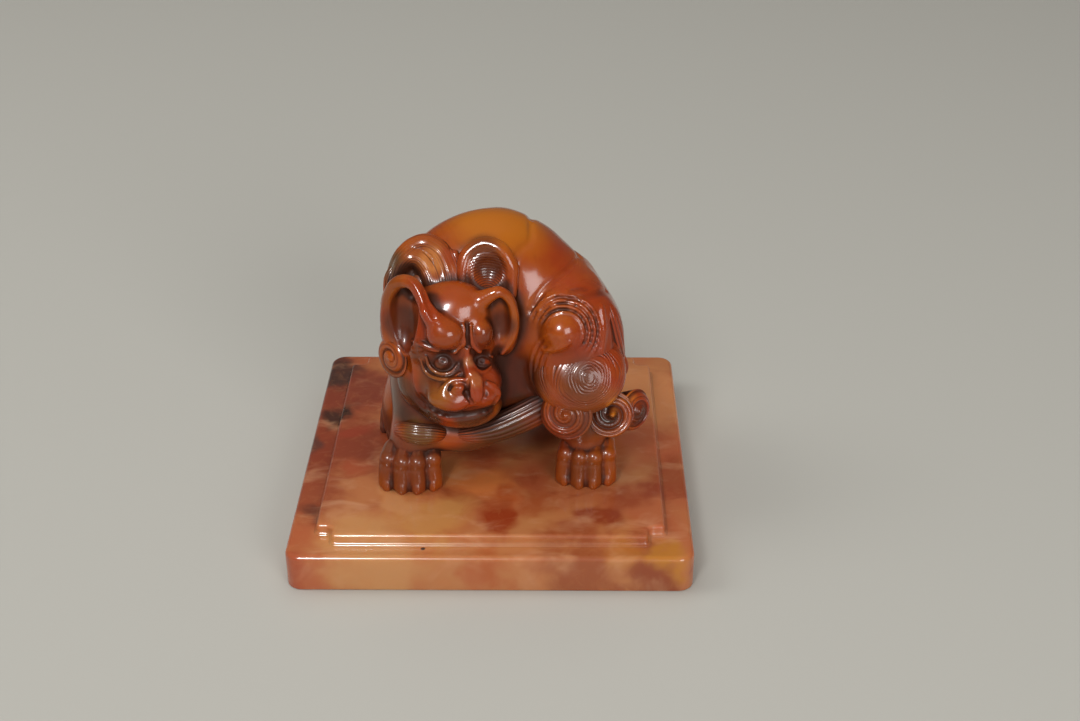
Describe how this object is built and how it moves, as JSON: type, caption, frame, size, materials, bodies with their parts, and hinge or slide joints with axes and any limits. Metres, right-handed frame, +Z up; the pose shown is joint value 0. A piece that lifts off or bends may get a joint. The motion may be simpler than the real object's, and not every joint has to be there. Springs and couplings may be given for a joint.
{
  "type": "seal stamp",
  "caption": "Carved soapstone seal: a square plinth with a stamping face below and a crouching guardian beast on top as its knob.",
  "frame": {"origin": "centre of the square stamping face, on the surface that the seal stands on", "axes": "+Z up through the knob, +X along the front edge of the plinth from the beast's head to its rump, -Y towards the viewer in front"},
  "size_m": [0.09, 0.09, 0.0706],
  "materials": {
    "plinth_stone": "polished, cream with brick-red clouds",
    "back_stone": "polished, orange amber",
    "body_stone": "polished, red brown",
    "face_stone": "polished, red brown with ochre cheeks",
    "leg_stone": "polished, brown with a mauve cast",
    "hair_stone": "polished over fine engraved lines, dark in the cuts"
  },
  "bodies": {
    "root": {"seal_plinth": "plinth_stone", "seal_table": "plinth_stone", "trunk": "back_stone", "chest": "body_stone", "thigh_near": "body_stone", "thigh_far": "body_stone", "thigh_swirl_near": "body_stone", "thigh_swirl_far": "body_stone", "head": "face_stone", "muzzle": "face_stone", "lower_jaw": "face_stone", "nose": "face_stone", "brow_left": "face_stone", "brow_right": "face_stone", "eye_left": "face_stone", "eye_right": "face_stone", "ear_left": "face_stone", "ear_right": "face_stone", "cheek_curl_left": "hair_stone", "mane_whorl": "hair_stone", "mane_lock_near_1": "hair_stone", "mane_lock_near_2": "hair_stone", "mane_lock_near_3": "hair_stone", "mane_lock_near_4": "hair_stone", "mane_lock_near_5": "hair_stone", "mane_lock_far_1": "hair_stone", "mane_lock_far_2": "hair_stone", "mane_lock_far_3": "hair_stone", "mane_lock_far_4": "hair_stone", "mane_lock_far_5": "hair_stone", "foreleg_near": "leg_stone", "foreleg_far": "leg_stone", "forepaw_near": "leg_stone", "forepaw_far": "leg_stone", "wrist_hair_near": "hair_stone", "wrist_hair_far": "hair_stone", "elbow_lock_near": "hair_stone", "elbow_lock_far": "hair_stone", "shank_near": "leg_stone", "shank_far": "leg_stone", "hind_paw_near": "leg_stone", "hind_paw_far": "leg_stone", "hock_whorl_near": "hair_stone", "hock_whorl_far": "hair_stone", "hock_curl_near_1": "hair_stone", "hock_curl_near_2": "hair_stone", "hock_curl_near_3": "hair_stone", "hock_curl_far_1": "hair_stone", "hock_curl_far_2": "hair_stone", "hock_curl_far_3": "hair_stone", "tail": "hair_stone"}
  },
  "joints": []
}
